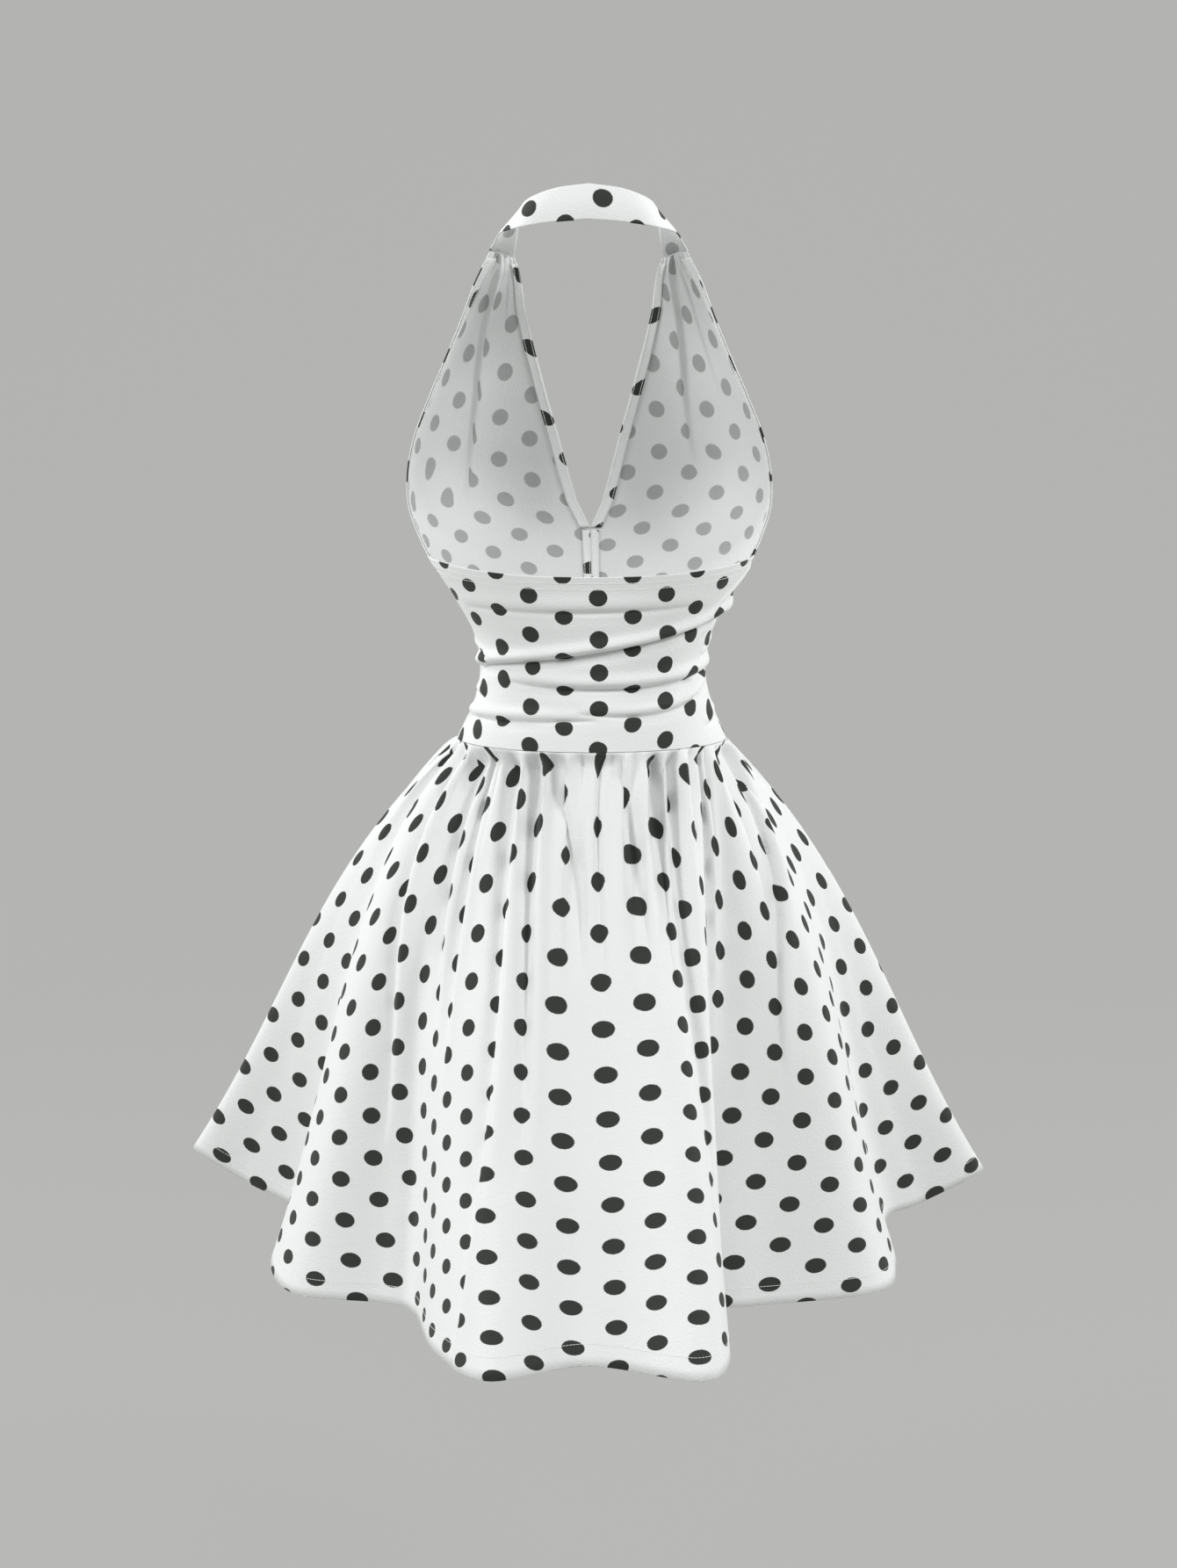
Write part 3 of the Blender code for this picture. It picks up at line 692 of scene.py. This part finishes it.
# cut length to each length of fall, and what it gains on the way down: the hanging
# weight stretches the print under the waist
CUT_RATE, CUT_RATE_GAIN = 0.70, 0.30
HEM_STITCH = 0.0175             # height of the hem's topstitching above its edge
SKIRT_DOT = (0.0097, -1.0905)   # the middle of a dot, across and down the flat cut
CONVERGE, CONVERGE_REACH = 0.42, 0.11   # the print draws together at the waist
CROWD_WIDTH = 0.075             # share of the panel that the tanh step takes
GATHERS, GATHER_RISE, GATHER_LEAN = 17, 0.0170, 0.0136
GATHER_ONSET, GATHER_SINK = 0.012, 0.75     # how soon they open, how far all of it sinks
FOLD_DEPTH, SKIRT_FOLD_STEEP = 1.9, 0.20    # times the depth and width in the table
SKIRT_TUCK_EDGE = 0.0016        # how sharply the cloth that a fold hides is left out
WAIST_SEAM_SHARE = 0.02         # folds flatten over this share beside a side seam
# a gather hides cloth once the cut is crowded past the first, and at most the second
HIDES_FROM, HIDES_MOST = 0.9, 0.8
# Long folds that carry on below the gathers, on each skirt: column share at the
# waist, half way and at the end, share of the fall where it ends, depth, width, and
# the cloth it hides. Each is a slow slope into a valley and a steep side out of it.
SKIRT_FOLDS = {
    "skirt_back": np.array([
        (0.455, 0.456, 0.449, 0.75, 0.0060, 0.018, 0.012),
        (0.578, 0.586, 0.600, 0.85, 0.0065, 0.020, 0.014),
        (0.424, 0.425, 0.385, 1.10, 0.0060, 0.022, 0.006),
        (0.474, 0.491, 0.492, 0.42, 0.0050, 0.020, 0.006),
        (0.509, 0.508, 0.510, 0.50, 0.0045, 0.022, 0.004),
        (0.521, 0.535, 0.542, 0.40, 0.0050, 0.020, 0.005),
        (0.550, 0.560, 0.562, 0.45, 0.0050, 0.018, 0.006),
        (0.190, 0.245, 0.258, 0.75, 0.0050, 0.018, 0.008),
        (0.316, 0.325, 0.330, 0.55, 0.0045, 0.014, 0.006),
        (0.370, 0.368, 0.350, 0.60, 0.0045, 0.014, 0.006),
        (0.900, 0.790, 0.760, 0.60, 0.0050, 0.016, 0.006),
        (0.660, 0.668, 0.690, 0.60, 0.0050, 0.014, 0.008),
        (0.080, 0.100, 0.110, 0.50, 0.0040, 0.014, 0.006),
    ]),
    "skirt_front": np.array([
        (0.100, 0.120, 0.130, 0.55, 0.0050, 0.016, 0.006),
        (0.210, 0.225, 0.225, 0.70, 0.0055, 0.018, 0.008),
        (0.330, 0.340, 0.345, 0.50, 0.0045, 0.014, 0.006),
        (0.440, 0.442, 0.430, 0.80, 0.0060, 0.018, 0.010),
        (0.520, 0.515, 0.520, 0.45, 0.0045, 0.012, 0.006),
        (0.590, 0.600, 0.615, 0.75, 0.0055, 0.018, 0.008),
        (0.700, 0.690, 0.680, 0.50, 0.0045, 0.014, 0.006),
        (0.800, 0.785, 0.780, 0.65, 0.0055, 0.016, 0.008),
        (0.900, 0.890, 0.880, 0.50, 0.0040, 0.014, 0.006),
    ]),
}


def skirt_surface(hem, waist_turn, hem_turn, waist_depth, crowd, down, columns):
    """A skirt panel: each column joins a waist point to an evenly spaced hem point,
    a tanh step giving the middle folds more than their share of the waist.
    Sideways it spreads fast and then straightens, backwards and forwards it spreads
    late; its folds are the hem's departure from a mean ring, growing downwards."""
    hem = by_length(hem, columns)
    share = np.linspace(0, 1, columns)
    middle = (1 + np.tanh((share - 0.5) / CROWD_WIDTH)) / 2
    waist_share = (1 - crowd) * share + crowd * middle
    waist_angle = np.radians(waist_turn[0] + (waist_turn[1] - waist_turn[0]) * waist_share)
    hem_angle = np.radians(hem_turn[0] + (hem_turn[1] - hem_turn[0]) * share)
    outward = np.stack([np.sin(waist_angle), np.cos(waist_angle)], axis=-1)
    waist = outward * (FRONT[-1, 3], waist_depth)
    mean = MEAN_REACH * np.stack([np.sin(hem_angle), np.cos(hem_angle)], axis=-1)
    down = down[:, None, None]
    early = FLARE_KICK * (1 - down) ** FLARE_POWER
    sideways = np.stack([np.ones(columns), np.sin(hem_angle) ** 2], axis=-1)
    spread = down * (1 + early * sideways - FLARE_DELAY * (1 - down) * (1 - sideways))
    plan = waist + (mean - waist) * spread + (hem[:, :2] - mean) * down ** FOLD_POWER
    z = WAIST_Z - SEAM_GAP / 2 + (hem[:, 2] - WAIST_Z) * down[:, :, 0]
    return np.concatenate([plan + (0, AXIS_Y), z[..., None]], axis=-1), waist_angle, waist_share


def gathers(share, fall, seed):
    """How far the gathers lift each point, how far they lean it sideways, and how much
    cloth they tuck from the ridges into the valleys: rounded ridges with sharp
    valleys, uneven in width, height and length."""
    rng = np.random.default_rng(seed)
    widths = rng.uniform(0.7, 1.4, GATHERS)
    edges = np.concatenate([[0], np.cumsum(widths) / widths.sum()])
    phase = np.interp(share, edges, np.arange(GATHERS + 1))
    which = np.minimum(phase.astype(int), GATHERS - 1)
    height = rng.uniform(0.55, 1.2, GATHERS)[which] * np.minimum(1, widths[which] * 1.1)
    fade = rng.uniform(0.05, 0.16, GATHERS)
    fade = np.interp(phase, np.arange(GATHERS) + 0.5, fade)
    lean = rng.uniform(-1, 1, GATHERS)[which]
    envelope = (1 - np.exp(-fall / GATHER_ONSET)) * np.exp(-(fall / fade) ** 1.3)
    ridge = np.abs(np.sin(math.pi * phase)) ** 0.6
    lift = envelope * (ridge * height - GATHER_SINK)
    tuck = envelope * np.sin(2 * math.pi * phase)
    return lift, tuck * (0.35 + 0.3 * lean), tuck / np.gradient(phase)


def long_folds(table, share, down, metres):
    """How far the long folds move each point outwards and how much cloth they hide
    before it. metres is the width of one whole share at each point."""
    move, hidden = np.zeros_like(metres), np.zeros_like(metres)
    for top, middle, bottom, end, depth, width, tuck in table:
        along = np.clip(down / end, 0, 1)[:, None]
        beyond = (share[None, :] - parabola(top, middle, bottom, along)) * metres / width
        fade = np.clip((1 - along) / 0.7, 0, 1) ** 0.8 * np.clip(down[:, None] / 0.02, 0, 1)
        valley = np.where(beyond < 0, np.exp(-np.abs(beyond) ** FOLD_SLOPE),
                          np.exp(-(beyond / SKIRT_FOLD_STEEP) ** 2))
        ridge = 0.35 * np.exp(-((beyond - 0.55) / 0.45) ** 2)
        move += FOLD_DEPTH * depth * fade * (ridge - valley)
        hidden += tuck * fade / (1 + np.exp(-np.clip(beyond * width / SKIRT_TUCK_EDGE, -50, 50)))
    return move, hidden - hidden.mean(axis=1, keepdims=True)


hem_steps = 24
azimuth, reach, height = np.radians(HEM[:, 0]), HEM[:, 1], HEM[:, 2]
ring = smooth_path(np.stack([reach * np.sin(azimuth), reach * np.cos(azimuth), height], axis=-1),
                   hem_steps, closed=True)
left, right = LEFT_SEAM * hem_steps, RIGHT_SEAM * hem_steps
skirt_rows, skirt_columns = 84, 560
down = np.linspace(0, 1, skirt_rows) ** 1.25        # rows are closer near the waist
share = np.linspace(0, 1, skirt_columns)
seam = np.clip(np.minimum(share, 1 - share) / WAIST_SEAM_SHARE, 0, 1)
# hem, azimuths at the waist, at the hem, depth of the waist, crowd, seed
SKIRTS = {
    "skirt_back": (ring[left:right + 1], (90, -90), (97.5, -93), 0.093, 0.4, 7),
    "skirt_front": (np.vstack([ring[right:], ring[:1]]), (-90, -270), (-93, -262.5), 0.100, 0.2, 11),
}
for name, (hem, waist_turn, hem_turn, depth, crowd, seed) in SKIRTS.items():
    grid, angle, at_waist = skirt_surface(hem, waist_turn, hem_turn, depth, crowd, down, skirt_columns)
    fall = run_length(grid)
    spacing = np.linalg.norm(np.gradient(grid, axis=1), axis=-1)
    lift, lean, tuck = gathers(at_waist, fall, seed)
    fold_move, folded_away = long_folds(SKIRT_FOLDS[name], share, down, spacing * (skirt_columns - 1))
    grid = grid + grid_normals(grid) * (fold_move * seam)[..., None]
    outward = np.stack([np.sin(angle), np.cos(angle), 0 * angle], axis=-1)
    sideways = np.stack([-np.cos(angle), np.sin(angle), 0 * angle], axis=-1)
    grid = grid + outward * (GATHER_RISE * seam * lift)[..., None]
    grid = grid + sideways * (GATHER_LEAN * seam * lean)[..., None]
    radius = INNER_RADIUS + fall * (CUT_RATE + CUT_RATE_GAIN * down[:, None])
    converge = CONVERGE * np.exp(-fall / CONVERGE_REACH)
    cut_share = share + converge * (at_waist - share)
    crowding = radius * SECTOR * np.gradient(cut_share, axis=1) / spacing
    hidden = np.clip(1 - HIDES_FROM / crowding, 0, HIDES_MOST)
    theta = (cut_share - 0.5 + hidden * tuck * np.gradient(cut_share, axis=1) / (2 * math.pi)) * SECTOR
    theta = theta + folded_away / radius
    skirt_cut = np.stack([radius * np.sin(theta), -radius * np.cos(theta)], axis=-1)
    skirt = cloth_sheet(name + "_crepe", grid, printed(skirt_cut, SKIRT_DOT))
    sewn_on(skirt, "dotted_crepe", name)
    normals = grid_normals(grid)
    row = int(np.argmin(abs((1 - down) * fall[-1].mean() - HEM_STITCH)))
    hem_thread = topstitch(name + "_hem_thread", grid[row] + normals[row] * WALL / 2, normals[row])
    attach(hem_thread, "root")
